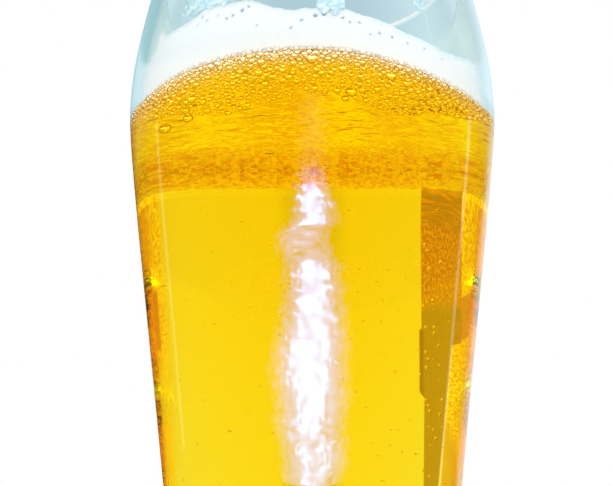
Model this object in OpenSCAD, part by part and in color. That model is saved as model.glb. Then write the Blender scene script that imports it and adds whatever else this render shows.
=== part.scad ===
// A half-litre beer glass: a straight taper up to a soft shoulder, drawn in again to a beaded rim.
// It stands on Z = 0 with its axis on Z. It holds beer up to the shoulder, a head of foam on the
// beer, and the lacing that the sunken foam left on the wall. -Y is the front.

/* [Glass] */
// Height from the table to the top of the rim
glass_h = 167; // [158:1:190]
// Outer diameter at the shoulder, the widest place
shoulder_d = 82; // [76:0.5:92]
// Height of the shoulder above the table
shoulder_h = 128; // [118:0.5:132]
// Length of the wall's turn below the shoulder
turn_below = 12.5; // [4:0.5:30]
// Length of the wall's turn above the shoulder
turn_above = 11; // [4:0.5:14]
// Outer diameter of the rim
rim_d = 70.6; // [60:0.2:74]
// Outer diameter of the foot
foot_d = 53; // [48:0.5:64]
// Thickness of the wall
wall = 2.4; // [1.6:0.1:3.2]
// Thickness of glass between the table and the beer
base_t = 16; // [8:0.5:22]
// Radius of the foot's outer edge
foot_round = 3; // [1:0.25:5]
// Radius of the corner between the floor and the wall inside
floor_round = 9; // [4:0.5:14]
// Diameter of the hollow under the foot
hollow_d = 38; // [20:0.5:40]
// Depth of the hollow under the foot
hollow_h = 2; // [0.5:0.1:4]

/* [Contents] */
// Height of the beer's surface above the table
fill_h = 127.5; // [90:0.5:140]
// Height of the foam at the wall
foam_edge_h = 8.5; // [5:0.5:14]
// Height of the foam at the middle
foam_middle_h = 6.5; // [3:0.5:14]
// Thickness of the lacing on the wall
lacing_t = 0.6; // [0.3:0.1:1.2]

/* [Hidden] */
$fn = 128;

// Handles of the wall's two long curves, as shares of the curve's width and height
foot_handle_share = [0.03, 0.2];
rim_handle_share = [0.77, 0.21];
// Handles of the foam's top: how far it stays level at the wall, and at the middle
foam_level_share = [0.3, 0.5];
// Straight pieces in each curve
wall_steps = 20;
turn_steps = 8;

foot_r = foot_d / 2;
shoulder_r = shoulder_d / 2;
rim_r = rim_d / 2;
hollow_r = hollow_d / 2;
bead_r = wall / 2;
wall_top = glass_h - bead_r;

// Lacing left on the wall between the foam and the rim. Each patch has its middle's angle from the
// front towards +X, its half width as an angle, and its low and high ends as shares of that wall.
lacing_share = [
    [-31, 13, 0, 0.86],
    [5.5, 4.5, 0, 0.7],
    [34.5, 3, 0.12, 0.6],
    [84, 6, 0, 0.15],
    [121, 8, 0, 0.35],
    [163, 5, 0, 0.3],
    [-155, 9, 0, 0.4],
    [-112, 4, 0.15, 0.4],
    [-83, 5, 0, 0.15]
];
// How much of its width a patch loses on its way up
narrowing_share = 0.45;

function bezier(a, b, c, d, t) =
    a * pow(1 - t, 3) + b * 3 * t * pow(1 - t, 2) + c * 3 * t * t * (1 - t) + d * pow(t, 3);

function arc(centre, r, from, to) =
    [for (i = [0:turn_steps]) let (a = from + (to - from) * i / turn_steps)
        centre + r * [cos(a), sin(a)]];

// The wall's outer face, as points [radius, height] from the foot's rounding to the shoulder
below_shoulder = [for (i = [0:wall_steps]) bezier(
    [foot_r, foot_round],
    [foot_r + (shoulder_r - foot_r) * foot_handle_share.x,
        foot_round + (shoulder_h - foot_round) * foot_handle_share.y],
    [shoulder_r, shoulder_h - turn_below],
    [shoulder_r, shoulder_h],
    i / wall_steps)];

// The same from just over the shoulder to the rim's bead
above_shoulder = [for (i = [1:wall_steps]) bezier(
    [shoulder_r, shoulder_h],
    [shoulder_r, shoulder_h + turn_above],
    [rim_r + (shoulder_r - rim_r) * rim_handle_share.x,
        shoulder_h + turn_above + (wall_top - shoulder_h - turn_above) * rim_handle_share.y],
    [rim_r, wall_top],
    i / wall_steps)];

outer = concat(below_shoulder, above_shoulder);
radius_at_height = [for (p = outer) [p.y, p.x]];

// Radius of the wall's inner face at a height
function inner_r(z) = lookup(z, radius_at_height) - wall;

// The wall's inner face from one height to another
function inner_span(low, high) = concat(
    [[inner_r(low), low]],
    [for (p = outer) if (p.y > low && p.y < high) [p.x - wall, p.y]],
    [[inner_r(high), high]]);

// The floor inside, from the axis out to the foot of the wall
taper = atan((shoulder_r - foot_r) / shoulder_h);
floor_corner_z = base_t + floor_round;
wall_foot_z = floor_corner_z - floor_round * sin(taper);
floor_corner = [inner_r(wall_foot_z) - floor_round * cos(taper), floor_corner_z];
floor_outline = concat([[0, base_t]], arc(floor_corner, floor_round, -90, -taper));

// Heights of the foam's surface
foam_edge_z = fill_h + foam_edge_h;
foam_middle_z = fill_h + foam_middle_h;

function reversed(points) = [for (i = [len(points) - 1:-1:0]) points[i]];

module lathe(outline) {
    rotate_extrude() polygon(outline);
}

// One closed wall with a thick base, a hollow underneath and a bead for a rim
module glass_body() {
    hollow = [for (i = [0:turn_steps]) let (r = hollow_r * i / turn_steps)
        [r, hollow_h * (1 - pow(r / hollow_r, 2))]];
    foot_edge = arc([foot_r - foot_round, foot_round], foot_round, -90, 0);
    bead = arc([rim_r - bead_r, wall_top], bead_r, 0, 180);
    inside = concat(floor_outline, inner_span(wall_foot_z, wall_top));
    color([0.80, 0.90, 0.92, 0.45])
        lathe(concat(hollow, foot_edge, outer, bead, reversed(inside)));
}

// The beer fills the glass from its floor to the foam
module beer() {
    color([0.96, 0.74, 0.02, 0.85])
        lathe(concat(floor_outline, inner_span(wall_foot_z, fill_h), [[0, fill_h]]));
}

// The head lies on the beer and clings to the wall, a little lower at the middle
module foam_head() {
    edge_r = inner_r(foam_edge_z);
    top = [for (i = [1:wall_steps]) bezier(
        [edge_r, foam_edge_z],
        [edge_r * (1 - foam_level_share.x), foam_edge_z],
        [edge_r * foam_level_share.y, foam_middle_z],
        [0, foam_middle_z],
        i / wall_steps)];
    color([0.97, 0.98, 0.99])
        lathe(concat([[0, fill_h]], inner_span(fill_h, foam_edge_z), top));
}

// A patch's outline seen square on: it narrows upwards from the foam, or is oval where it hangs free
function patch_outline(half_w, low, high, oval) = [for (side = [1, -1], i = [0:wall_steps])
    let (s = (side > 0 ? i : wall_steps - i) / wall_steps)
    if (side > 0 || (s > 0 && s < 1))
    [side * half_w * (oval ? sqrt(1 - pow(2 * s - 1, 2)) : (1 - narrowing_share * s) * sqrt(1 - pow(s, 4))),
        low + (high - low) * s]];

// A patch of foam as thick as the film, cut out of a lining of the wall
module lacing_patch(azimuth, half_angle, low_share, high_share) {
    room = wall_top - foam_edge_z;
    low = foam_edge_z + room * low_share;
    high = foam_edge_z + room * high_share;
    on_wall = inner_span(low, high);
    intersection() {
        lathe(concat(on_wall, [for (p = reversed(on_wall)) [p.x - lacing_t, p.y]]));
        rotate([0, 0, azimuth]) rotate([90, 0, 0]) linear_extrude(shoulder_r)
            polygon(patch_outline(inner_r(low) * sin(half_angle), low, high, low_share > 0));
    }
}

module foam_lacing() {
    color([0.88, 0.95, 0.97])
        for (p = lacing_share) lacing_patch(p[0], p[1], p[2], p[3]);
}

glass_body();
beer();
foam_head();
foam_lacing();
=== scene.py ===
"""A glass of beer seen from close by and a little below, against a white backdrop."""
import itertools
import math

import bmesh
import bpy
import numpy as np
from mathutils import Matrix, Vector, noise
from mathutils.geometry import delaunay_2d_cdt


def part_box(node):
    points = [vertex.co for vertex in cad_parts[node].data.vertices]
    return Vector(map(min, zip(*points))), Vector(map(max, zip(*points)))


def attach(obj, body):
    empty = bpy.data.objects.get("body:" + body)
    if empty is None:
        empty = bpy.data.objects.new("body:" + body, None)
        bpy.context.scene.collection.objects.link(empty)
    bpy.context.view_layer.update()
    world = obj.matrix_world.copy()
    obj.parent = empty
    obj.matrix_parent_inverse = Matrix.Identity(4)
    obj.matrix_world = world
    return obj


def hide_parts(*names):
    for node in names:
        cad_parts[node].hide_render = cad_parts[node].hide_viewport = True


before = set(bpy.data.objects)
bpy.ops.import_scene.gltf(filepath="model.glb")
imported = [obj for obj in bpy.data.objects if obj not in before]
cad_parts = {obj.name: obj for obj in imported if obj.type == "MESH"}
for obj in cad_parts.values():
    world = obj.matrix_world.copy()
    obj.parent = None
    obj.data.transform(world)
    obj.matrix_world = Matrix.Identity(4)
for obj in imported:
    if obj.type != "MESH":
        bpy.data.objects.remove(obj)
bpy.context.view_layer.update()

MM = 0.001
rng = np.random.default_rng(7)

# Sizes that the frame gives
GLASS_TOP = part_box("glass_body")[1].z
SHOULDER_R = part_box("glass_body")[1].x
FILL_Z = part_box("beer")[1].z
BEER_FLOOR_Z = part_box("beer")[0].z
FOAM_EDGE_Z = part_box("foam_head")[1].z

# Sizes of the glass's outline, as the CAD model has them
SHOULDER_Z = 128 * MM
TURN_BELOW = 12.5 * MM
TURN_ABOVE = 11 * MM
RIM_R = 35.3 * MM
FOOT_R = 26.5 * MM
WALL = 2.4 * MM
FOOT_ROUND = 3 * MM
FLOOR_ROUND = 9 * MM
HOLLOW_R = 19 * MM
HOLLOW_H = 2 * MM
FOOT_HANDLE_SHARE = (0.03, 0.2)
RIM_HANDLE_SHARE = (0.77, 0.21)

# The beer reaches a little into the wall, so that no air lies between them
BEER_INTO_WALL = 0.10 * MM
# The foam stands a little clear of the wall
FOAM_OFF_WALL = 0.06 * MM

SEGMENTS = 320
WALL_STEPS = 64
ARC_STEPS = 14
# A smaller radius than this lies on the axis
ON_AXIS = 1e-7


def bezier(a, b, c, d, steps):
    t = np.linspace(0, 1, steps + 1)[:, None]
    a, b, c, d = map(np.array, (a, b, c, d))
    return a * (1 - t) ** 3 + 3 * b * t * (1 - t) ** 2 + 3 * c * t * t * (1 - t) + d * t ** 3


def arc(centre, r, start, end, steps=ARC_STEPS):
    a = np.radians(np.linspace(start, end, steps + 1))
    return np.stack([centre[0] + r * np.cos(a), centre[1] + r * np.sin(a)], 1)


BEAD_R = WALL / 2
WALL_TOP = GLASS_TOP - BEAD_R
RISE = WALL_TOP - SHOULDER_Z - TURN_ABOVE
below_shoulder = bezier(
    (FOOT_R, FOOT_ROUND),
    (FOOT_R + (SHOULDER_R - FOOT_R) * FOOT_HANDLE_SHARE[0],
     FOOT_ROUND + (SHOULDER_Z - FOOT_ROUND) * FOOT_HANDLE_SHARE[1]),
    (SHOULDER_R, SHOULDER_Z - TURN_BELOW),
    (SHOULDER_R, SHOULDER_Z), WALL_STEPS)
above_shoulder = bezier(
    (SHOULDER_R, SHOULDER_Z),
    (SHOULDER_R, SHOULDER_Z + TURN_ABOVE),
    (RIM_R + (SHOULDER_R - RIM_R) * RIM_HANDLE_SHARE[0],
     SHOULDER_Z + TURN_ABOVE + RISE * RIM_HANDLE_SHARE[1]),
    (RIM_R, WALL_TOP), WALL_STEPS)
outer = np.vstack([below_shoulder, above_shoulder[1:]])


def inner_r(z):
    """Radius of the wall's inner face at a height."""
    return np.interp(z, outer[:, 1], outer[:, 0]) - WALL


TAPER = math.atan((SHOULDER_R - FOOT_R) / SHOULDER_Z)
WALL_FOOT_Z = BEER_FLOOR_Z + FLOOR_ROUND * (1 - math.sin(TAPER))
floor_corner = (inner_r(WALL_FOOT_Z) - FLOOR_ROUND * math.cos(TAPER), BEER_FLOOR_Z + FLOOR_ROUND)


def inside_outline(top_z, outwards, steps):
    """The inner face from the axis to a height, moved outwards by a little."""
    bend = arc(floor_corner, FLOOR_ROUND + outwards, -90, -math.degrees(TAPER))
    z = np.linspace(bend[-1, 1], top_z, steps + 1)[1:]
    side = np.stack([inner_r(z) + outwards, z], 1)
    return np.vstack([[[0, BEER_FLOOR_Z - outwards]], bend, side])


def mesh_piece(name, verts, faces, material, slot=None, smooth=True, turn_out=True):
    """A new object from points and faces. A piece of the part, for which a slot is given, rides on the root
    body.
    """
    mesh = bpy.data.meshes.new(name)
    mesh.from_pydata([tuple(v) for v in verts], [], [tuple(f) for f in faces])
    mesh.update()
    ob = bpy.data.objects.new(name, mesh)
    bpy.context.scene.collection.objects.link(ob)
    if turn_out:
        bm = bmesh.new()
        bm.from_mesh(mesh)
        bmesh.ops.recalc_face_normals(bm, faces=bm.faces)
        bm.to_mesh(mesh)
        bm.free()
    mesh.polygons.foreach_set("use_smooth", [smooth] * len(mesh.polygons))
    mesh.materials.append(material)
    if slot:
        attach(ob, "root")
    return ob


def on_round(r, a, z):
    """The point at a radius, at an angle from the front towards +X, and at a height."""
    return r * math.sin(a), -r * math.cos(a), z


class Rings:
    """A surface built ring by ring round the axis. The rings may differ in their number of points."""

    def __init__(self):
        self.verts, self.faces, self.last = [], [], None

    def add(self, count, place):
        """A ring of points: place(angle) gives each as (radius, height). A count of 1 is a pole."""
        ring = (len(self.verts), count)
        for i in range(count):
            a = 2 * math.pi * i / count
            r, z = place(a)
            self.verts.append(on_round(r, a, z))
        if self.last:
            self.join(self.last, ring)
        self.last = ring

    def join(self, one, two):
        """Closes the band between two rings, with triangles where their counts differ."""
        (s1, n1), (s2, n2) = one, two
        if n1 == n2 and n1 > 1:
            for i in range(n1):
                j = (i + 1) % n1
                self.faces.append((s1 + i, s1 + j, s2 + j, s2 + i))
            return
        if n1 == 1 or n2 == 1:
            if n1 == 1:
                self.faces += [(s1, s2 + (i + 1) % n2, s2 + i) for i in range(n2)]
            else:
                self.faces += [(s2, s1 + i, s1 + (i + 1) % n1) for i in range(n1)]
            return
        i = j = 0
        while i < n1 or j < n2:
            if j == n2 or (i < n1 and (i + 1) / n1 <= (j + 1) / n2):
                self.faces.append((s1 + i % n1, s1 + (i + 1) % n1, s2 + j % n2))
                i += 1
            else:
                self.faces.append((s1 + i % n1, s2 + (j + 1) % n2, s2 + j % n2))
                j += 1


def lathe(name, outline, material, slot):
    rings = Rings()
    for r, z in outline:
        rings.add(1 if r < ON_AXIS else SEGMENTS, lambda a: (r, z))
    return mesh_piece(name, rings.verts, rings.faces, material, slot)


# Materials

class NodeMaths:
    """Short names for the arithmetic nodes of one shader tree."""

    def __init__(self, tree):
        self.tree = tree

    def put(self, socket, value):
        """Sets a socket to a number or a colour, or links it to another socket."""
        if isinstance(value, tuple):
            if len(value) < len(socket.default_value):
                value = (*value, 1)
            socket.default_value = value
        elif isinstance(value, (int, float)):
            socket.default_value = value
        else:
            self.tree.links.new(value, socket)

    def math(self, op, *values):
        node = self.tree.nodes.new("ShaderNodeMath")
        node.operation = op
        for socket, value in zip(node.inputs, values):
            self.put(socket, value)
        return node.outputs[0]

    def add(self, a, b):
        return self.math("ADD", a, b)

    def sub(self, a, b):
        return self.math("SUBTRACT", a, b)

    def mul(self, a, b):
        return self.math("MULTIPLY", a, b)

    def mix(self, fac, one, two):
        node = self.tree.nodes.new("ShaderNodeMix")
        node.data_type = "RGBA"
        self.put(node.inputs[0], fac)
        self.put(node.inputs[6], one)
        self.put(node.inputs[7], two)
        return node.outputs[2]

    def step(self, value, low, high):
        """Rises softly from 0 at low to 1 at high; low may be the greater."""
        node = self.tree.nodes.new("ShaderNodeMapRange")
        node.interpolation_type = "SMOOTHSTEP"
        self.put(node.inputs["Value"], value)
        if low < high:
            set_inputs(node, From_Min=low, From_Max=high)
        else:
            set_inputs(node, From_Min=high, From_Max=low, To_Min=1.0, To_Max=0.0)
        return node.outputs[0]

    def window(self, value, low, high, soft):
        """1 between low and high, and 0 outside."""
        return self.mul(self.step(value, low - soft, low + soft), self.step(value, high + soft, high - soft))

    def vector(self, x, y, z):
        node = self.tree.nodes.new("ShaderNodeCombineXYZ")
        for socket, value in zip(node.inputs, (x, y, z)):
            self.put(socket, value)
        return node.outputs[0]

    def noise(self, vector, scale, detail=2.0, rough=0.5):
        node = self.tree.nodes.new("ShaderNodeTexNoise")
        set_inputs(node, Scale=scale, Detail=detail, Roughness=rough)
        self.tree.links.new(vector, node.inputs["Vector"])
        return node.outputs["Fac"]

    def mottle(self, across, along, seed, detail=3.0, rough=0.6):
        """Noise over two values, each given with its waves per unit."""
        return self.noise(self.vector(self.mul(*across), self.mul(*along), seed), 1.0, detail, rough)

    def split(self, vector):
        node = self.tree.nodes.new("ShaderNodeSeparateXYZ")
        self.tree.links.new(vector, node.inputs[0])
        return node.outputs

    def coords(self, kind):
        return self.tree.nodes.new("ShaderNodeTexCoord").outputs[kind]

    def attribute(self, name):
        node = self.tree.nodes.new("ShaderNodeAttribute")
        node.attribute_name = name
        return node.outputs["Fac"]

    def cells(self, vector, scale, feature="F1"):
        node = self.tree.nodes.new("ShaderNodeTexVoronoi")
        node.feature = feature
        set_inputs(node, Scale=scale)
        self.tree.links.new(vector, node.inputs["Vector"])
        return node.outputs["Distance"]

    def bump(self, shader, height, distance, strength):
        """Gives a shader a relief."""
        node = self.tree.nodes.new("ShaderNodeBump")
        set_inputs(node, Strength=strength, Distance=distance)
        self.tree.links.new(height, node.inputs["Height"])
        self.tree.links.new(node.outputs["Normal"], shader.inputs["Normal"])

    def curve(self, value, points):
        """A smooth curve through points (x, y), all between 0 and 1."""
        node = self.tree.nodes.new("ShaderNodeFloatCurve")
        self.put(node.inputs["Value"], value)
        line = node.mapping.curves[0]
        while len(line.points) < len(points):
            line.points.new(0.5, 0.5)
        for point, (x, y) in zip(line.points, points):
            point.location = (x, y)
        node.mapping.update()
        return node.outputs[0]


def new_material(name):
    mat = bpy.data.materials.new(name)
    mat.use_nodes = True
    tree = mat.node_tree
    return mat, tree, tree.nodes["Principled BSDF"], tree.nodes["Material Output"]


def set_inputs(node, **values):
    for key, value in values.items():
        node.inputs[key.replace("_", " ")].default_value = value


def absorb(tree, out, per_metre):
    """Plain absorption in the volume, given for red, green and blue."""
    density = max(per_metre) / STRONGEST_SHARE
    node = tree.nodes.new("ShaderNodeVolumeAbsorption")
    node.inputs["Color"].default_value = (*[1 - k / density for k in per_metre], 1)
    node.inputs["Density"].default_value = density
    tree.links.new(node.outputs[0], out.inputs["Volume"])


# Absorption per metre for red, green and blue, and the most absorbed colour's share of the density
GLASS_ABSORBS = (12, 4.5, 5)
BEER_ABSORBS = (0.3, 6.4, 85)
STRONGEST_SHARE = 0.95
GLASS_IOR = 1.52
BEER_IOR = 1.345
# The glass is faintly wavy: waves per metre, their height and strength
GLASS_WAVES, WAVE_HEIGHT, WAVE_STRENGTH = 45, 0.02 * MM, 0.12
# The foam's cells and blotches per metre, the cells' relief, and how far light spreads in the foam
FOAM_CELLS, FOAM_BLOTCHES = 1000, 500.0
CELL_RELIEF, CELL_STRENGTH = 0.3 * MM, 0.35
FOAM_SCATTER = 2.5 * MM
# The foot's cells per metre, the blotches per metre of the collar's painted light and shade, and how strongly
# the foam's painted glow shines
FOOT_CELLS, COLLAR_SHADE_BLOTCHES = 950, 1200.0
GLOW_STRENGTH = 1.25


def clear_material(name, ior, absorbs):
    """Clear matter that refracts light and absorbs a part of each colour."""
    mat, tree, bsdf, out = new_material(name)
    set_inputs(bsdf, Base_Color=(1, 1, 1, 1), Roughness=0.0, IOR=ior, Transmission_Weight=1.0)
    absorb(tree, out, absorbs)
    return mat, NodeMaths(tree), bsdf


def glass_material():
    mat, n, bsdf = clear_material("clear_glass", GLASS_IOR, GLASS_ABSORBS)
    n.bump(bsdf, n.noise(n.coords("Object"), GLASS_WAVES, 1.0), WAVE_HEIGHT, WAVE_STRENGTH)
    return mat


def beer_material():
    return clear_material("golden_beer", BEER_IOR, BEER_ABSORBS)[0]


def foam_material(name, film_only):
    """White foam. Where it is a thin film on the glass, it is a pale blue. The lacing is all film. Elsewhere the
    mesh's attributes say where there is film, a hollow with painted shade, the foot or the collar with its
    painted light and shade, and where it has a painted glow."""
    mat, tree, bsdf, _ = new_material(name)
    set_inputs(bsdf, Roughness=0.55)
    n = NodeMaths(tree)
    place = n.coords("Object")
    cells = n.cells(place, FOAM_CELLS)
    n.bump(bsdf, cells, CELL_RELIEF, CELL_STRENGTH)
    blotch = n.noise(place, FOAM_BLOTCHES, 3.0)
    if film_only:
        thin = n.mix(n.step(cells, 0.15, 0.55), (0.80, 0.94, 0.97), (0.55, 0.80, 0.88))
        colour = n.mix(n.step(blotch, 0.45, 0.75), thin, (0.90, 0.97, 0.98))
    else:
        set_inputs(bsdf, Subsurface_Weight=1.0, Subsurface_Radius=(1, 1, 1), Subsurface_Scale=FOAM_SCATTER)
        thin = n.mul(n.attribute("film"), n.step(blotch, 0.2, 0.6))
        colour = n.mix(thin, (0.94, 0.965, 0.975), (0.62, 0.84, 0.92))
        # Painted shade: the hollows near the foam's edge are darkened to a grey-blue
        colour = n.mix(n.attribute("pit_shade"), colour, (0.36, 0.45, 0.58))
        # Round cells show along the foot, where the foam stands on the beer
        outlines = n.cells(place, FOOT_CELLS, "DISTANCE_TO_EDGE")
        line = n.mul(n.step(outlines, 0.2, 0.0), n.step(n.attribute("foot"), 0.1, 0.9))
        colour = n.mix(n.mul(line, 0.9), colour, (0.46, 0.37, 0.33))
        # The collar in the beer is uneven. Its colour is painted light and shade: amber, blotched from brown to
        # yellow
        lump_shade = n.step(n.noise(place, COLLAR_SHADE_BLOTCHES, 3.0, 0.7), 0.38, 0.62)
        uneven = n.mix(lump_shade, (0.54, 0.31, 0.1), (0.95, 0.93, 0.3))
        colour = n.mix(n.attribute("collar"), colour, uneven)
        # Painted glow: next to the wall its underside emits a blue-white light, standing in for the light that
        # the foam passes on from the side
        set_inputs(bsdf, Emission_Color=(0.62, 0.72, 1.0, 1))
        n.put(bsdf.inputs["Emission Strength"], n.mul(n.attribute("glow"), GLOW_STRENGTH))
    n.put(bsdf.inputs["Base Color"], colour)
    return mat


GLASS = glass_material()
BEER = beer_material()
FOAM = foam_material("white_foam", False)
FILM = foam_material("foam_film", True)


# The glass

def make_glass():
    hollow_r = np.linspace(0, HOLLOW_R, ARC_STEPS + 1)
    hollow = np.stack([hollow_r, HOLLOW_H * (1 - (hollow_r / HOLLOW_R) ** 2)], 1)
    foot_edge = arc((FOOT_R - FOOT_ROUND, FOOT_ROUND), FOOT_ROUND, -90, 0)
    bead = arc((RIM_R - BEAD_R, WALL_TOP), BEAD_R, 0, 180)[1:]
    inside = inside_outline(WALL_TOP, 0, 2 * WALL_STEPS)
    outline = np.vstack([hollow, foot_edge, outer[1:], bead, inside[::-1][1:]])
    ob = lathe("glass_body_clear", outline, GLASS, "glass")
    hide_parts("glass_body")


# The beer

# The level where the beer meets the wall, over FILL_Z in mm, at angles from the front towards +X
LEVEL = [(-180, -1.7), (-140, -1.3), (-110, -1.0), (-77, -0.9), (-58, -1.6), (-47, -0.8), (-35, -0.3),
         (-21, 0.1), (0, 0.2), (9, 0.0), (23, -1.0), (37, -2.0), (47, -2.7), (62, -2.9), (80, -1.2),
         (110, -1.0), (140, -1.3), (180, -1.7)]
# Its corners are softened over this many degrees to each side
LEVEL_SOFT = 6
# The level at the middle, and how fast the wavy level at the wall fades towards it
LEVEL_MIDDLE = -0.5 * MM
LEVEL_FADE = 9 * MM


def round_table(points, soften):
    """A closed table of heights, one for each degree, with its corners softened."""
    degrees = np.arange(-180, 180)
    table = np.interp(degrees, [p[0] for p in points], [p[1] for p in points]) * MM
    ring = np.concatenate([table[-soften:], table, table[:soften]])
    return np.convolve(ring, np.ones(2 * soften + 1) / (2 * soften + 1), "valid")


def look_up(table, a):
    deg = (math.degrees(a) + 180) % 360
    i = int(deg)
    return table[i % 360] * (1 - deg + i) + table[(i + 1) % 360] * (deg - i)


level_table = round_table(LEVEL, LEVEL_SOFT)


def level(a, r):
    """How far the beer's surface lies over FILL_Z at a place."""
    near_wall = math.exp(-max(0, inner_r(FILL_Z) - r) / LEVEL_FADE)
    return look_up(level_table, a) * near_wall + LEVEL_MIDDLE * (1 - near_wall)


def froth_spots():
    """Bubbles of the foam that hang into the beer, in mm. They are crowded along the wall at the front, and
    smaller and fewer farther in."""
    froth = Crowd(FROTH_CELL, FROTH_GAP)
    top_r = inner_r(FILL_Z) / MM - FROTH_OFF_WALL

    def put(x, y, r):
        if math.hypot(x, y) + r * FROTH_ROOM <= top_r:
            froth.put((x, y), r)

    for x, y, r in LARGE_SPOTS:
        put(x, y, r)
    for tries, low, high, reach, reach_back in FROTH_SIZES:
        for _ in range(tries):
            a = rng.uniform(-math.pi, math.pi)
            r = rng.uniform(low, high)
            deep = reach
            if abs(a) > FROTH_FRONT:
                deep = reach_back
                if abs(a) > FROTH_SIDES or rng.random() > SIDES_SHARE or r > SIDES_MOST_R:
                    continue
            from_wall = r * FROTH_ROOM + rng.exponential(deep * 0.5)
            if from_wall < deep * 2:
                x, y, _ = on_round(top_r - from_wall, a, 0)
                put(x, y, r)
    return froth


def ripple(x, y):
    """The uneven underside of the foam, as the beer's surface has it."""
    long_wave = noise.noise(Vector((x * 330, y * 330, 1)))
    short_wave = noise.noise(Vector((x * 900, y * 900, 4)))
    return (0.07 * long_wave + 0.03 * short_wave) * MM


# The largest bubbles under the foam, as places and radii in mm
LARGE_SPOTS = [
    (0, -34.3, 1.22), (-21.7, -22, 0.82), (-25.9, -13.1, 0.98), (-24.1, -14.6, 0.6), (-21.5, -13.6, 0.95),
    (-25.7, -17, 0.61), (-20.7, -0.9, 0.92), (-23.7, 4.4, 1.1), (-17.5, -30.3, 0.71), (-15.7, -21.1, 0.61),
    (-18, -17.4, 0.61), (-9.8, -26.8, 0.82), (-11.4, -33.3, 0.7), (-9.6, -32.6, 0.85), (-7.1, -24.2, 0.71),
    (-4.2, -24.1, 0.71), (-3.5, -31.8, 0.71), (5.7, -29.1, 0.92), (14.7, -26.7, 1.1), (17.5, -22.9, 0.9),
    (17.8, -19.1, 0.8), (6.9, -15.5, 1.1), (8.9, -17, 0.71), (28.1, -16.3, 0.61), (29.7, -6, 0.71),
    (-28.2, -20.6, 0.7), (-26.6, -23.4, 0.6), (2.6, -30.2, 0.6), (-6.5, -29.2, 0.6), (9.5, -33.1, 0.7)]
# For each size: how many tries, the least and greatest radius, and how far from the wall they reach at the
# front and elsewhere, in mm
FROTH_SIZES = [(500, 0.6, 0.75, 13, 3), (2600, 0.45, 0.6, 13, 3), (6000, 0.3, 0.45, 13, 3.5),
               (9000, 0.18, 0.3, 14, 3.5), (4000, 0.13, 0.2, 4, 1)]
# The cells of the search, the gap between bubbles, the room each takes per radius, and the gap at the wall
FROTH_CELL, FROTH_GAP, FROTH_ROOM, FROTH_OFF_WALL = 2.5, 0.03, 1.03, 0.12
# Where the front and the sides end, as angles from the front. At the sides only a share of the tries counts,
# and only bubbles up to a radius.
FROTH_FRONT, FROTH_SIDES = 1.45, 2.2
SIDES_SHARE, SIDES_MOST_R = 0.12, 0.35
# A cap's points: the length between them, the least and most in a circle, and its circles likewise
FROTH_EDGE, FROTH_AROUND = 0.21, (8, 28)
FROTH_CIRCLES, FROTH_LEVELS = 8, (3, 7)
# The ground between the caps: its points' pitch in mm, the rows' share of it and how much the points are moved
GROUND_PITCH, ROW_SHARE, MOVED_SHARE = 0.5, 0.87, 0.08
GROUND_GAP, GROUND_OFF_WALL = 0.06, 0.2


class Crowd:
    """Discs or balls that keep clear of one another. A grid of cells finds what lies near a place."""

    def __init__(self, cell, gap):
        self.cell, self.gap = cell, gap
        self.spots, self.cells = [], {}

    def home(self, place):
        return tuple(math.floor(v / self.cell) for v in place)

    def near(self, place):
        """Those in the cell of a place and in the cells next to it."""
        home = self.home(place)
        for step in itertools.product((-1, 0, 1), repeat=len(home)):
            yield from self.cells.get(tuple(h + s for h, s in zip(home, step)), ())

    def put(self, place, r):
        """Takes one in, unless it comes too near another."""
        for *other, other_r in self.near(place):
            if math.dist(other, place) < other_r + r + self.gap:
                return
        self.cells.setdefault(self.home(place), []).append((*place, r))
        self.spots.append((*place, r))


# Bubbles that cling to the wall right of the front: the angle from the front towards +X, and the height in mm
CLINGING = [(38.6, 91.5), (39.9, 90.4), (41.6, 75.4), (45.8, 75.8), (46.2, 74.7), (48.9, 72.4), (42.7, 70.7),
            (43.9, 69.4), (43.4, 67.8), (40.8, 66.3), (44.3, 61.6), (53.5, 62.2), (47.0, 59.6), (53.0, 59.4),
            (49.8, 56.3), (51.6, 54.7), (48.7, 53.1), (56.9, 53.5), (45.7, 48.4), (49.3, 47.4), (60.5, 46.7),
            (44.0, 80.9), (46.5, 88.8), (41.5, 87.0)]


CLINGING_RADII = (0.28, 0.36)
BUBBLE_CELL, BUBBLE_GAP, BUBBLE_OFF_WALL = 2.5 * MM, 0.02 * MM, 0.04 * MM
# The ring of bubbles on the wall under the foam: tries, usual radius and its spread, least and greatest radius
RING_TRIES, RING_R, RING_SPREAD, RING_RADII = 260, 0.22, 0.35, (0.13, 0.5)
# Its gap under the beer's edge, its usual and greatest depth, and where it ends as an angle from the front
RING_GAP, RING_DEPTH, RING_MOST_DEPTH, RING_END = 0.08 * MM, 0.7 * MM, 5 * MM, 2.4
# Small ones on the wall, and those that rise through the beer: tries, heights and radii in mm
WALL_TRIES, WALL_HEIGHTS, WALL_RADII = 170, (30, 119), (0.1, 0.24)
RISING_TRIES, RISING_HEIGHTS, RISING_RADII = 110, (28, 118), (0.12, 0.26)
RISING_OFF_WALL = 3 * MM


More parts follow.
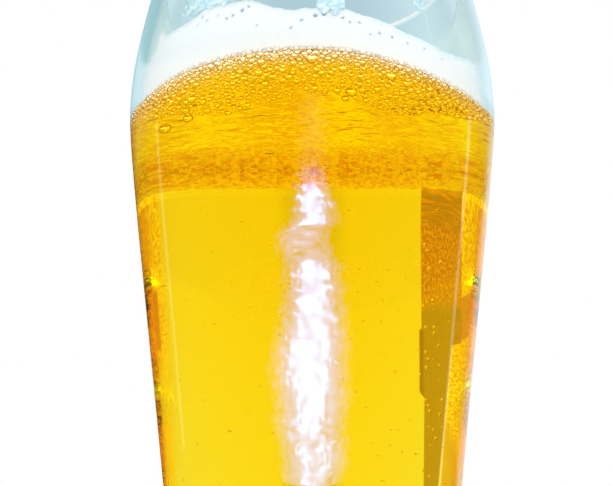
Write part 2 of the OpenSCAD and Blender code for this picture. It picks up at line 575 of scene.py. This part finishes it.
def scatter_bubbles():
    """The bubbles on the wall and in the beer, as places and radii."""
    crowd = Crowd(BUBBLE_CELL, BUBBLE_GAP)

    def any_angle():
        return rng.uniform(-math.pi, math.pi)

    def on_wall(a, z, r):
        reach = inner_r(z) - (r + BUBBLE_OFF_WALL) / math.cos(TAPER)
        crowd.put(on_round(reach, a, z), r)

    for angle, height in CLINGING:
        on_wall(math.radians(angle), height * MM, rng.uniform(*CLINGING_RADII) * MM)
    # The ring goes round the front and the sides, but not the back
    for _ in range(RING_TRIES):
        a = any_angle()
        r = float(np.clip(rng.lognormal(math.log(RING_R), RING_SPREAD), *RING_RADII)) * MM
        drop = r + RING_GAP + rng.exponential(RING_DEPTH)
        if drop < RING_MOST_DEPTH and abs(a) < RING_END:
            on_wall(a, FILL_Z + look_up(level_table, a) - drop, r)
    for _ in range(WALL_TRIES):
        on_wall(any_angle(), rng.uniform(*WALL_HEIGHTS) * MM, rng.uniform(*WALL_RADII) * MM)
    for _ in range(RISING_TRIES):
        a, z = any_angle(), rng.uniform(*RISING_HEIGHTS) * MM
        reach = (inner_r(z) - RISING_OFF_WALL) * math.sqrt(rng.random())
        crowd.put(on_round(reach, a, z), rng.uniform(*RISING_RADII) * MM)
    return crowd.spots


def ball(detail):
    bm = bmesh.new()
    bmesh.ops.create_icosphere(bm, subdivisions=detail, radius=1)
    verts = np.array([v.co[:] for v in bm.verts])
    faces = np.array([[v.index for v in f.verts] for f in bm.faces])
    bm.free()
    return verts, faces


def froth_top(rim):
    """The beer's top surface inside a rim of points: level ground between round caps that hang down.
    Gives points and triangles, and which of the points are the rim's."""
    points = [(x / MM, y / MM) for x, y, _ in rim]
    depth = [0.0] * len(rim)
    ties = [(i, (i + 1) % len(rim)) for i in range(len(rim))]
    froth = froth_spots()
    for x, y, r in froth.spots:
        around = int(np.clip(round(2 * math.pi * r / FROTH_EDGE), *FROTH_AROUND))
        levels = int(np.clip(round(r * FROTH_CIRCLES), *FROTH_LEVELS))
        start = len(points)
        for k in range(levels):
            slope = math.pi / 2 * (1 - k / levels)
            out = r * math.sin(slope)
            for i in range(around):
                turn = 2 * math.pi * i / around
                points.append((x + out * math.sin(turn), y + out * math.cos(turn)))
                depth.append(r * math.cos(slope))
        points.append((x, y))
        depth.append(r)
        ties += [(start + i, start + (i + 1) % around) for i in range(around)]
    # The level ground's points lie in staggered rows, each moved a little at random
    top_r = inner_r(FILL_Z) / MM - GROUND_OFF_WALL
    for row in range(int(2 * top_r / GROUND_PITCH / ROW_SHARE) + 1):
        for col in range(int(2 * top_r / GROUND_PITCH) + 1):
            x = -top_r + (col + 0.5 * (row % 2) + rng.normal(0, MOVED_SHARE)) * GROUND_PITCH
            y = -top_r + (row * ROW_SHARE + rng.normal(0, MOVED_SHARE)) * GROUND_PITCH
            free = all(math.hypot(x - cx, y - cy) > r + GROUND_GAP for cx, cy, r in froth.near((x, y)))
            if free and math.hypot(x, y) < top_r:
                points.append((x, y))
                depth.append(0.0)
    made = delaunay_2d_cdt([Vector(p) for p in points], ties, [], 0, 1e-6, True)
    verts = []
    for (x, y), origin in zip(made[0], made[3]):
        x, y = x * MM, y * MM
        down = depth[origin[0]] * MM if origin else 0.0
        verts.append((x, y, FILL_Z + level(math.atan2(x, -y), math.hypot(x, y)) + ripple(x, y) - down))
    order = {i: j for j, origin in enumerate(made[3]) for i in origin}
    return verts, made[2], [order[i] for i in range(len(rim))]


BEER_SEGMENTS, BEER_STEPS = 256, 48
# Down to this depth the beer's side follows its wavy level
SETTLE = 12 * MM
# Narrow bands beside the upper edge keep it crisp
EDGE_BAND, RIM_BAND, EDGE_ANGLE = 0.03 * MM, 0.1 * MM, 50
# Bubbles over this radius are finer balls
FINE_FROM_R = 0.4 * MM


def beer_side(a, z):
    height = z + look_up(level_table, a) * (z - FILL_Z + SETTLE) / SETTLE
    return inner_r(height) + BEER_INTO_WALL, height


def make_beer():
    rings = Rings()
    outline = inside_outline(FILL_Z, BEER_INTO_WALL, BEER_STEPS)
    outline = np.vstack([outline[:-1], [[outline[-1, 0], FILL_Z - EDGE_BAND]], outline[-1:]])
    for r, z in outline:
        if z < FILL_Z - SETTLE:
            rings.add(1 if r < ON_AXIS else BEER_SEGMENTS, lambda a: (r, z))
        else:
            rings.add(BEER_SEGMENTS, lambda a: beer_side(a, z))
    top_r = inner_r(FILL_Z)
    for r in (top_r + BEER_INTO_WALL - EDGE_BAND, top_r - RIM_BAND):
        rings.add(BEER_SEGMENTS, lambda a: (r, FILL_Z + level(a, r)))
    faces = rings.faces
    rim_start = rings.last[0]
    top, triangles, rim = froth_top(rings.verts[rim_start:])
    shift = len(rings.verts)
    places = {j: rim_start + i for i, j in enumerate(rim)}
    inner = [tuple(places.get(i, i + shift) for i in f) for f in triangles]
    verts = [np.array(rings.verts), np.array(top)]
    if shell_volume(verts[0], faces) < 0:
        faces = [f[::-1] for f in faces]
    first, second, third = (verts[1][i] for i in triangles[0])
    if np.cross(second - first, third - first)[2] < 0:
        inner = [f[::-1] for f in inner]
    faces += inner
    # Each bubble is a hollow in the beer, so its faces look inwards
    count = len(verts[0]) + len(verts[1])
    coarse, fine = ball(2), ball(3)
    for x, y, z, r in scatter_bubbles():
        points, sides = fine if r > FINE_FROM_R else coarse
        verts.append(points * r + (x, y, z))
        faces += [tuple(f[::-1] + count) for f in sides]
        count += len(points)
    ob = mesh_piece("beer_with_bubbles", np.vstack(verts), faces, BEER, "beer", turn_out=False)
    # The rim's points come twice, and no face has the second ones
    bm = bmesh.new()
    bm.from_mesh(ob.data)
    bmesh.ops.delete(bm, geom=[v for v in bm.verts if not v.link_faces], context="VERTS")
    bm.to_mesh(ob.data)
    bm.free()
    ob.data.set_sharp_from_angle(angle=math.radians(EDGE_ANGLE))
    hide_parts("beer")


def shell_volume(verts, faces):
    """The volume that faces enclose, negative if they look inwards."""
    total = 0.0
    for f in faces:
        a = verts[f[0]]
        for i in range(1, len(f) - 1):
            total += np.dot(a, np.cross(verts[f[i]], verts[f[i + 1]]))
    return total / 6


# The foam

# The foam lies this far over the beer
FOAM_GAP = 0.12 * MM
# Height of the foam's edge over FILL_Z, in mm, at angles from the front towards +X
FOAM_EDGE = [(-180, 8.5), (-150, 7.5), (-120, 9.5), (-95, 8), (-71, 5.9), (-60, 6.8), (-56, 8.4),
             (-54, 13.2), (-52.4, 10.6), (-50, 10.3), (-44, 10.4), (-38, 11.5), (-34, 13.4), (-18, 12.2),
             (-13, 10.2), (-8, 9), (2, 9.1), (10, 9.2), (15, 8.3), (21, 7.4), (26, 6.2), (35, 5.1),
             (45, 4.3), (56, 5.8), (63, 5.4), (73, 4.1), (95, 7), (120, 8.5), (150, 8), (180, 8.5)]
# Small holes near the edge: the angle from the front towards +X, the depth under the edge and the radius in mm
FOAM_HOLES = [(1, 1.6, 0.5), (3.5, 1.2, 0.55), (5, 0.5, 0.25), (-3, 2.6, 0.3), (9, 2, 0.3), (11, 2.6, 0.25),
              (14, 1.9, 0.3), (-21, 2.4, 0.5), (-24, 3.2, 0.35), (-26, 3.9, 0.3), (-19, 1.6, 0.4),
              (-29, 3, 0.25), (-16, 5.4, 0.25), (20, 2.9, 0.3), (24, 2.5, 0.3), (-35, 2.2, 0.35),
              (-36.5, 2.8, 0.3), (-33, 3.6, 0.25), (17, 3.8, 0.2), (-6, 4, 0.2), (29, 2.1, 0.2),
              (35, 1.6, 0.2), (42, 1.8, 0.2)]
HOLE_DEPTH = 0.4
# The top's height at the middle, how fast it falls from the edge to it, and how fast its swell sets in
FOAM_MIDDLE, FOAM_CLING, SWELL_RISE = 6.6 * MM, 14, 12
SWELL_WAVES, SWELL_HEIGHT = 160, 0.5
# How far the film reaches down, how far the foot's cells reach up, and how far the glow reaches in
FILM_REACH, FOOT_REACH, GLOW_REACH = 1.6 * MM, 1.3 * MM, 4.5 * MM
FOAM_UNDER_RINGS = 32
# Half the angle of the collar at the back, and the height of its foot
COLLAR_HALF = 0.62
COLLAR_FOOT_Z = 121.4 * MM
FOAM_RINGS = 60
FOAM_SIDE_STEPS = 40
FOAM_SEGMENTS = 780

foam_edge_deg = [p[0] for p in FOAM_EDGE]
foam_edge_mm = [p[1] for p in FOAM_EDGE]


def foam_edge_height(a):
    deg = (math.degrees(a) + 180) % 360 - 180
    base = np.interp(deg, foam_edge_deg, foam_edge_mm) * MM
    frill = noise.fractal(Vector((math.cos(a) * 16, math.sin(a) * 16, 3)), 0.8, 2, 4)
    return base + frill * 0.35 * MM


def add_collar(verts, faces):
    """A collar of foam that hangs down the far wall into the beer: a thin slab, ragged along its foot."""
    across, down = 420, 22
    start = len(verts)
    for i in range(across + 1):
        a = math.pi + (2 * i / across - 1) * COLLAR_HALF
        top = FILL_Z + look_up(level_table, a) + 0.03 * MM
        fade = min(1.0, 6 * (1 - abs(2 * i / across - 1)))
        foot = COLLAR_FOOT_Z + noise.fractal(Vector((a * 26, 0, 2)), 0.9, 2, 4) * 0.45 * MM
        foot = top - 0.1 * MM - (top - 0.1 * MM - foot) * fade
        for k in range(2 * down):
            front = k < down
            share = k / (down - 1) if front else (2 * down - 1 - k) / (down - 1)
            z = top + (foot - top) * share
            lump = noise.fractal(Vector((a * 60, z * 1400, 5)), 0.8, 2, 3)
            thick = (0.45 + 0.28 * lump) * math.sqrt(1 - 0.96 * share) if front else 0.03
            verts.append(on_round(inner_r(z) - thick * MM, a, z))
    round_it = 2 * down
    for i in range(across):
        for k in range(round_it):
            p, q = start + i * round_it + k, start + i * round_it + (k + 1) % round_it
            faces.append((p, q, q + round_it, p + round_it))
    last = start + across * round_it
    faces.append(tuple(range(start, start + round_it)))
    faces.append(tuple(range(last + round_it - 1, last - 1, -1)))


def make_foam():
    rings = Rings()
    film, pit_shade, foot, glow = [], [], [], []

    def add(count, place, shine=0.0):
        for values in (film, pit_shade, foot):
            values.extend([0.0] * count)
        glow.extend([shine] * count)
        rings.add(count, place)

    holes = [(math.radians(d), under * MM, r * MM) for d, under, r in FOAM_HOLES]
    add(1, lambda a: (0, FILL_Z + LEVEL_MIDDLE + FOAM_GAP))
    wall_r = inner_r(FILL_Z)
    # The underside's rings carry the painted glow, strongest next to the wall
    for k in range(1, FOAM_UNDER_RINGS):
        r = wall_r * k / FOAM_UNDER_RINGS
        add(FOAM_SEGMENTS // 2, lambda a: (r, FILL_Z + level(a, r) + FOAM_GAP),
            math.exp(-(wall_r - r) / GLOW_REACH))
    for k in range(FOAM_SIDE_STEPS + 1):
        share = k / FOAM_SIDE_STEPS

        def on_side(a):
            low = level(a, wall_r) + FOAM_GAP
            edge = foam_edge_height(a)
            z = FILL_Z + low + (edge - low) * share
            under = FILL_Z + edge - z
            dent = 0.0
            for hole_a, hole_under, hole_r in holes:
                apart = abs((a - hole_a + math.pi) % (2 * math.pi) - math.pi) * wall_r
                if apart < hole_r * 2:
                    gap = math.hypot(apart, under - hole_under) / hole_r
                    dent = max(dent, 1 - gap ** 4)
            here = len(rings.verts)
            film[here] = max(0.0, 1 - under / FILM_REACH)
            # The hollows get painted shade
            pit_shade[here] = dent
            foot[here] = max(0.0, 1 - (z - FILL_Z - low) / FOOT_REACH)
            return inner_r(z) - FOAM_OFF_WALL - dent * HOLE_DEPTH * MM, z

        add(FOAM_SEGMENTS, on_side)
    for k in range(1, FOAM_RINGS):
        share = k / FOAM_RINGS

        def on_top(a):
            edge = foam_edge_height(a)
            r = (inner_r(FILL_Z + edge) - FOAM_OFF_WALL) * (1 - share)
            x, y, _ = on_round(r, a, 0)
            swell = noise.fractal(Vector((x * SWELL_WAVES, y * SWELL_WAVES, 8)), 0.8, 2, 4)
            middle = FOAM_MIDDLE + swell * SWELL_HEIGHT * MM * min(1, share * SWELL_RISE)
            return r, FILL_Z + middle + (edge - middle) * math.exp(-share * FOAM_CLING)

        add(FOAM_SEGMENTS, on_top)
    add(1, lambda a: (0, FILL_Z + FOAM_MIDDLE))
    collar_start = len(rings.verts)
    add_collar(rings.verts, rings.faces)
    for values in (film, pit_shade, foot, glow):
        values.extend([0.0] * (len(rings.verts) - len(values)))
    collar = [0.0] * collar_start + [1.0] * (len(rings.verts) - collar_start)
    ob = mesh_piece("foam_head_soft", rings.verts, rings.faces, FOAM, "foam")
    for name, values in (("film", film), ("pit_shade", pit_shade), ("foot", foot), ("glow", glow), ("collar", collar)):
        layer = ob.data.attributes.new(name, "FLOAT", "POINT")
        layer.data.foreach_set("value", values)
    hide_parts("foam_head")


# The lacing

# How thick the film is, how far from the wall, and how far it dips behind the foam
LACING_THICK, LACING_OFF_WALL, LACING_DIP = 0.3 * MM, 0.2 * MM, 2.5 * MM
# How much of its width a patch loses on its way up
NARROWING_SHARE = 0.45
# Patches of film on the wall: the angle from the front towards +X, half the width as an angle, and the low and
# high ends as shares of the wall between the foam and the rim
LACING = [(-31, 13, 0, 0.86), (5.5, 4.5, 0, 0.7), (34.5, 3, 0.12, 0.6), (84, 6, 0, 0.15), (121, 8, 0, 0.35),
          (163, 5, 0, 0.3), (-155, 9, 0, 0.4), (-112, 4, 0.15, 0.4), (-83, 5, 0, 0.15)]


def make_lacing():
    """Thin patches of foam film on the wall."""
    verts, faces = [], []
    room = WALL_TOP - FOAM_EDGE_Z
    for azimuth, half, low_share, high_share in LACING:
        steps_a, steps_z = max(12, int(half * 7)), 70
        low, high = FOAM_EDGE_Z + room * low_share, FOAM_EDGE_Z + room * high_share
        if not low_share:
            low = FILL_Z + foam_edge_height(math.radians(azimuth)) - LACING_DIP
        start = len(verts)
        for i in range(steps_z + 1):
            s = i / steps_z
            z = low + (high - low) * s
            if low_share:
                width = math.sqrt(max(0, 1 - (2 * s - 1) ** 2))
            else:
                width = (1 - NARROWING_SHARE * s) * math.sqrt(max(0, 1 - s ** 4))
            for j in range(steps_a + 1):
                side = 2 * j / steps_a - 1
                a = math.radians(azimuth + half * width * side)
                a += 0.012 * noise.noise(Vector((azimuth, z * 900, side * 2))) * abs(side)
                verts.append(on_round(inner_r(z) - LACING_OFF_WALL, a, z))
        # It is torn, most at its sides, at its top and where it dips behind the foam
        for i in range(steps_z):
            for j in range(steps_a):
                p = start + i * (steps_a + 1) + j
                x, y, z = verts[p]
                edge = abs(2 * (j + 0.5) / steps_a - 1)
                hole = noise.noise(Vector((x * 800, y * 800, z * 800)))
                foot = 0 if low_share else max(0.0, 1 - (z - low) / LACING_DIP)
                if hole < 0.5 - 0.45 * edge ** 3 - 0.25 * i / steps_z - 1.3 * foot:
                    faces.append((p, p + 1, p + steps_a + 2, p + steps_a + 1))
    ob = mesh_piece("foam_lacing_film", verts, faces, FILM, "foam", turn_out=False)
    thick = ob.modifiers.new("film", "SOLIDIFY")
    thick.thickness = LACING_THICK
    thick.offset = 0
    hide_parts("foam_lacing")


make_glass()
make_beer()
make_foam()
make_lacing()


# The studio

PICTURE_W = 612
FOCAL_PIXELS = 1182
AXIS_PIXEL = 312.5
CAMERA_BACK = 250 * MM
CAMERA_UP = 25 * MM
PITCH = 16.67
# How bright the backdrop is through the beer, and how bright the light is that reaches the foam
BEER_GAIN = 1.15
SOFT_LIGHT = 1.2
UNDER_LIGHT = 2.7
# The foil's glare from its foot to its top, in mm: height, middle, half width of the core and of the fringe
FOIL = [(0, -5, 12, 122), (10, 8, 62, 134), (15, 4, 62, 138), (19, -12, 40, 138), (24, -10, 48, 142),
        (32, -2, 66, 148), (40, -10, 84, 152), (50, -10, 84, 150), (58, 1, 72, 134), (75, 5, 57, 108),
        (85, 2, 52, 100), (90, -12, 8, 92), (101, -30, 0, 90), (104, 0, 34, 84), (111, 6, 38, 72),
        (118, 0, 30, 58), (124, 0, 10, 46), (130, 0, 0, 38), (180, 0, 0, 30)]
FOIL_HALF, FOIL_TOP = 200, 185
# How far in metres the foil and the strips are from the glass's axis
FOIL_AWAY, STRIP_AWAY = 0.30, 1.5
# What is dark in the room
DARK_ROOM = (0.01, 0.01, 0.012)
# How often light may be bent or mirrored by what is clear, and scattered by what is not
CLEAR_BOUNCES, DIFFUSE_BOUNCES = 48, 10


def make_camera():
    data = bpy.data.cameras.new("camera")
    data.sensor_width = 36
    data.lens = data.sensor_width * FOCAL_PIXELS / PICTURE_W
    data.clip_start, data.clip_end = 0.01, 20
    cam = bpy.data.objects.new("camera", data)
    cam.location = (0, -CAMERA_BACK, CAMERA_UP)
    yaw = math.atan((AXIS_PIXEL - PICTURE_W / 2) / FOCAL_PIXELS)
    cam.rotation_euler = (math.radians(90 + PITCH), 0, yaw)
    bpy.context.scene.collection.objects.link(cam)
    bpy.context.scene.camera = cam


def make_floor():
    mat, _, bsdf, _ = new_material("pale_floor")
    set_inputs(bsdf, Base_Color=(0.85, 0.85, 0.85, 1), Roughness=0.8)
    verts = [(-4, -4, 0), (4, -4, 0), (4, 4, 0), (-4, 4, 0)]
    floor = mesh_piece("floor", verts, [(0, 1, 2, 3)], mat, smooth=False)
    floor.visible_glossy = False
    floor.visible_transmission = False


# Directions in the world are in degrees: turn is the one from +Y towards +X, aside is turn without its sign,
# and up is the one over the horizon. The filled glass swaps left and right: what the picture shows to the left
# has a positive turn. A row of the picture lies the higher, the farther it is to the side.

def seen_through_glass(n, up, aside):
    """Through the empty part of the glass: white, with a blue-grey ceiling, darkest in the middle."""
    ceiling = n.mix(n.step(aside, 1.5, 11), (0.46, 0.64, 0.71), (0.72, 0.94, 1.01))
    return n.mix(n.step(up, 2, 14), (1.02, 1.02, 1.02), ceiling)


def seen_through_beer(n, up, turn, aside, row, grain, fleck):
    """Through the beer: white, with a brown upright and, at both sides, mottled things."""
    wide_fleck = n.step(n.mottle((turn, 0.35), (row, 7.0), 6.0, rough=0.65), 0.40, 0.60)
    lines = n.step(n.mottle((turn, 0.10), (row, 11.0), 4.0, detail=2.0), 0.44, 0.62)
    white = n.mix(n.step(aside, 2.5, 5.5), (0.86 * BEER_GAIN,) * 3, (BEER_GAIN,) * 3)
    banded = n.mix(lines, (0.58, 0.38, 0.3), (0.95, 0.50, 0.3))
    speckled = n.mix(fleck, (0.70, 0.32, 0.3), (1.00, 0.62, 0.3))
    upright = n.mix(n.step(row, 24.0, 24.5), speckled, banded)
    upright = n.mix(n.step(n.add(row, n.mul(grain, 1.2)), 20.6, 21.5), (0.57, 0.42, 0.3), upright)
    below = n.sub(25.2, up)
    left_end = n.sub(n.mul(below, n.add(n.mul(below, -0.004), -0.25)), 18.3)
    left_end = n.add(left_end, n.mul(n.window(up, 16.2, 19.4, 0.1), 0.7))
    left_end = n.sub(left_end, n.mul(n.step(up, 16.3, 16.1), 1.0))
    right_end = n.mix(n.step(row, 18.4, 18.7), n.sub(-25.9, n.mul(up, 0.40)), n.sub(n.mul(up, 1.6), 77.4))
    past_left = n.sub(turn, left_end)
    inside_upright = n.mul(n.step(past_left, 0.2, -0.2), n.step(n.sub(turn, right_end), -0.4, 0.4))
    seam = n.mul(n.window(up, 16.2, 19.4, 0.05), n.window(past_left, -1.4, 0.1, 0.2))
    upright = n.mix(seam, upright, (0.45, 0.30, 0.2))
    mottled = n.mix(wide_fleck, (1.15, 0.65, 0.3), (1.5, 1.40, 0.3))
    block = n.mul(n.window(n.sub(up, n.mul(n.sub(turn, 50), 0.13)), 22.1, 25.0, 0.15), n.step(turn, 45, 48))
    left_side = n.mix(block, mottled, (0.80, 0.38, 0.5))
    bright = n.mix(wide_fleck, (1.25, 1.0, 0.3), (1.4, 1.4, 0.3))
    left_side = n.mix(n.step(up, 21.6, 20.6), left_side, bright)
    through_beer = n.mix(n.step(turn, 37, 41), white, left_side)
    band_row = n.sub(up, n.mul(n.sub(aside, 40), 0.15))
    right_side = n.mix(n.window(band_row, 21.2, 23.4, 0.1), mottled, (0.85, 0.50, 0.9))
    right_side = n.mix(n.step(up, 17.0, 15.5), right_side, (1.0, 0.72, 0.4))
    through_beer = n.mix(n.step(turn, -32, -33), through_beer, right_side)
    through_beer = n.mix(inside_upright, through_beer, upright)
    return n.mix(n.step(up, 6.0, 8.0), white, through_beer)


def mirrored_outside(n, x, y, z):
    """Mirrored on the glass: a dark room, with a teal side to the left and a pale one to the right."""
    sides = n.mix(n.step(x, -0.1, 0.1), (0.30, 0.52, 0.56), (0.70, 0.86, 0.92))
    outside = n.mix(n.mul(n.step(y, 0.5, 0.8), n.step(z, 0.34, 0.40)), DARK_ROOM, sides)
    sheen = n.mul(n.mul(n.step(x, 0.0, 0.1), n.step(y, 0.70, 0.88)), n.step(z, 0.40, 0.34))
    return n.mix(sheen, outside, (0.75, 0.85, 0.80))


def mirrored_in_wall(n, x, z, up):
    """Mirrored inside the wall: pale above, dark below."""
    high_up = n.mix(n.step(x, -0.1, 0.1), (0.46, 0.74, 0.79), (0.72, 0.89, 0.95))
    pale = n.mix(n.step(up, 26.3, 27.5), (0.84, 1.03, 1.10), high_up)
    return n.mix(n.step(z, 0.28, 0.36), DARK_ROOM, pale)


def mirrored_in_beer(n, y, up, turn, fleck, after):
    """Mirrored in the beer: under the foam a bright table behind, striped with orange, with dimmer things above
    and below it and in front, and at the edges a light that comes down from above."""
    stripe = n.step(n.mottle((turn, 0.1), (up, 0.55), 7.0), 0.42, 0.58)
    table = n.mix(stripe, (1.1, 0.80, 0.35), (1.3, 1.35, 0.6))
    table = n.mix(n.window(up, -33, -17, 3), (0.45, 0.23, 0.1), table)
    under_foam = n.mix(n.step(y, -0.3, 0.5), (0.95, 0.5, 0.2), table)
    under_foam = n.mix(n.step(up, 4, 10), under_foam, (1.4, 1.25, 0.3))
    # What has been mirrored time and again, along the edges of the glass
    edges = n.mix(fleck, (1.3, 1.0, 0.3), (1.9, 2.2, 1.0))
    edges = n.mix(after("Glossy", 6), edges, n.mix(fleck, (2.0, 2.2, 1.0), (4.5, 6.0, 3.0)))
    edges = n.mix(after("Glossy", 11), edges, (9.0, 8.0, 3.0))
    return n.mix(after("Glossy", 2), under_foam, edges)


def make_world():
    """A backdrop whose colour depends on the direction and on what a ray has met."""
    world = bpy.data.worlds.new("studio")
    bpy.context.scene.world = world
    world.use_nodes = True
    tree = world.node_tree
    n = NodeMaths(tree)
    path = tree.nodes.new("ShaderNodeLightPath").outputs
    x, y, z = n.split(n.coords("Generated"))
    up = n.mul(n.math("ARCSINE", z), 180 / math.pi)
    turn = n.mul(n.math("ARCTAN2", x, y), 180 / math.pi)
    aside = n.math("ABSOLUTE", turn)
    slope = n.sub(0.12, n.mul(n.step(up, 22, 26), 0.045))
    row = n.sub(up, n.mul(n.sub(aside, 19.0), slope))
    grain = n.mottle((turn, 1.5), (row, 5.0), 2.0, rough=0.65)
    fleck = n.step(grain, 0.44, 0.60)

    def after(kind, count):
        """1 once a ray has met more surfaces of a kind than the count, else 0."""
        return n.step(path[kind + " Depth"], count + 0.2, count + 0.8)

    in_beer = after("Transmission", 4)
    through_beer = seen_through_beer(n, up, turn, aside, row, grain, fleck)
    straight = n.mix(in_beer, seen_through_glass(n, up, aside), through_beer)
    mirrored = n.mix(after("Transmission", 0), mirrored_outside(n, x, y, z), mirrored_in_wall(n, x, z, up))
    mirrored = n.mix(in_beer, mirrored, mirrored_in_beer(n, y, up, turn, fleck, after))
    glassy = n.mix(after("Glossy", 0), straight, mirrored)
    # What lights the foam comes in through the glass
    soft = n.mix(after("Transmission", 6), (SOFT_LIGHT,) * 3, (UNDER_LIGHT,) * 3)
    glassy = n.mix(after("Diffuse", 0), glassy, soft)
    colour = n.mix(path["Is Glossy Ray"], (0.9, 0.9, 0.9), glassy)
    colour = n.mix(path["Is Camera Ray"], colour, (1.0, 1.0, 1.0))
    tree.links.new(colour, tree.nodes["Background"].inputs["Color"])


def reflector(name, verts, faces, build):
    """A glowing card that only shows as a reflection in the glass."""
    mat = bpy.data.materials.new(name)
    mat.use_nodes = True
    tree = mat.node_tree
    tree.nodes.clear()
    glow = tree.nodes.new("ShaderNodeEmission")
    out = tree.nodes.new("ShaderNodeOutputMaterial")
    tree.links.new(glow.outputs[0], out.inputs["Surface"])
    build(tree, glow)
    mat.cycles.emission_sampling = "NONE"
    card = mesh_piece(name, verts, faces, mat, smooth=False)
    for kind in ("camera", "diffuse", "transmission", "volume_scatter", "shadow"):
        setattr(card, "visible_" + kind, False)
    return card


def make_strips():
    """Two tall thin lights at the sides."""
    for name, degrees, low, high, half, colour in (
            ("strip_left", -108.6, 0.02, 0.54, 0.06, (0.55, 0.8, 0.6)),
            ("strip_right", 110.6, -0.3, 0.56, 0.07, (0.7, 1.2, 1.0))):
        def build(tree, glow, half=half, colour=colour):
            n = NodeMaths(tree)
            across = n.math("ABSOLUTE", n.split(n.coords("Object"))[0])
            shine = n.step(across, half, half * 0.3)
            tree.links.new(n.mix(shine, (0, 0, 0), colour), glow.inputs["Color"])

        verts = [(-half, 0, low), (half, 0, low), (half, 0, high), (-half, 0, high)]
        card = reflector(name, verts, [(0, 1, 2, 3)], build)
        a = math.radians(degrees)
        card.location = on_round(STRIP_AWAY, a, 0)
        card.rotation_euler = (0, 0, a)


def make_foil():
    """A crumpled bright foil before the glass, whose front mirrors it as a ragged glare."""

    def build(tree, glow):
        n = NodeMaths(tree)
        x, _, z = (n.mul(v, 1 / MM) for v in n.split(n.coords("Object")))
        share = n.mul(z, 1 / FOIL_TOP)

        def width(column, middle=0):
            points = [(p[0] / FOIL_TOP, p[column] / 2 / FOIL_HALF + middle) for p in FOIL]
            return n.mul(n.sub(n.curve(share, points), middle), 2 * FOIL_HALF)

        streak = n.sub(n.mottle((x, 0.02), (z, 0.36), 1.0), 0.5)
        grain = n.sub(n.mottle((x, 0.07), (z, 0.20), 3.0, detail=4.0, rough=0.7), 0.5)
        patch = n.mottle((x, 0.03), (z, 0.15), 5.0)
        off = n.math("ABSOLUTE", n.sub(x, width(1, 0.5)))
        off = n.add(off, n.add(n.mul(streak, 130), n.mul(grain, 110)))
        core_w = n.math("MAXIMUM", width(2), 0.01)
        core = n.step(n.math("DIVIDE", off, core_w), 1.3, 0.5)
        core = n.mul(core, n.step(core_w, 5, 30))
        # Near its foot the foil is split by a dim fold
        fold = n.mul(n.window(z, 2, 17, 3), n.step(n.add(off, n.mul(grain, 20)), 34, 12))
        core = n.mul(core, n.sub(1.0, n.mul(fold, 0.4)))
        fringe = n.step(n.math("DIVIDE", off, width(3)), 1.15, 0.35)
        fringe = n.mul(fringe, n.mul(n.step(z, 136, 118), n.add(n.mul(n.step(z, 80, 55), 0.07), 0.36)))
        tail = n.mul(n.step(n.math("DIVIDE", off, 45), 1.2, 0.2), n.mul(n.step(z, 180, 150), 0.03))
        rough = n.add(0.66, n.mul(n.step(patch, 0.34, 0.60), 0.34))
        strength = n.math("MAXIMUM", n.mul(core, rough), n.mul(fringe, n.add(1.0, n.mul(streak, 4.5))))
        strength = n.math("MAXIMUM", strength, tail)
        # The weaker it is, the bluer: each colour has its power and its strength
        powers = ((2.0, 4.0), (2.0, 14.0), (1.2, 32.0))
        colour = n.vector(*(n.mul(n.math("POWER", strength, power), most) for power, most in powers))
        tree.links.new(colour, glow.inputs["Color"])

    half, top, y = FOIL_HALF * MM, FOIL_TOP * MM, -FOIL_AWAY
    verts = [(-half, y, 0), (half, y, 0), (half, y, top), (-half, y, top)]
    reflector("foil", verts, [(0, 1, 2, 3)], build)


def make_lamp():
    data = bpy.data.lights.new("soft_lamp", "AREA")
    data.shape = "RECTANGLE"
    data.size, data.size_y = 1.6, 1.2
    data.energy = 9
    lamp = bpy.data.objects.new("soft_lamp", data)
    lamp.location = (-0.7, -0.5, 1.5)
    lamp.rotation_euler = Vector((-0.7, -0.5, 1.4)).to_track_quat("Z", "Y").to_euler()
    lamp.visible_glossy = False
    lamp.visible_transmission = False
    bpy.context.scene.collection.objects.link(lamp)


make_camera()
make_floor()
make_world()
make_strips()
make_foil()
make_lamp()

scene = bpy.context.scene
scene.view_settings.view_transform = "Standard"
scene.cycles.max_bounces = CLEAR_BOUNCES
scene.cycles.transmission_bounces = CLEAR_BOUNCES
scene.cycles.glossy_bounces = CLEAR_BOUNCES
scene.cycles.diffuse_bounces = DIFFUSE_BOUNCES
scene.cycles.blur_glossy = 0.0
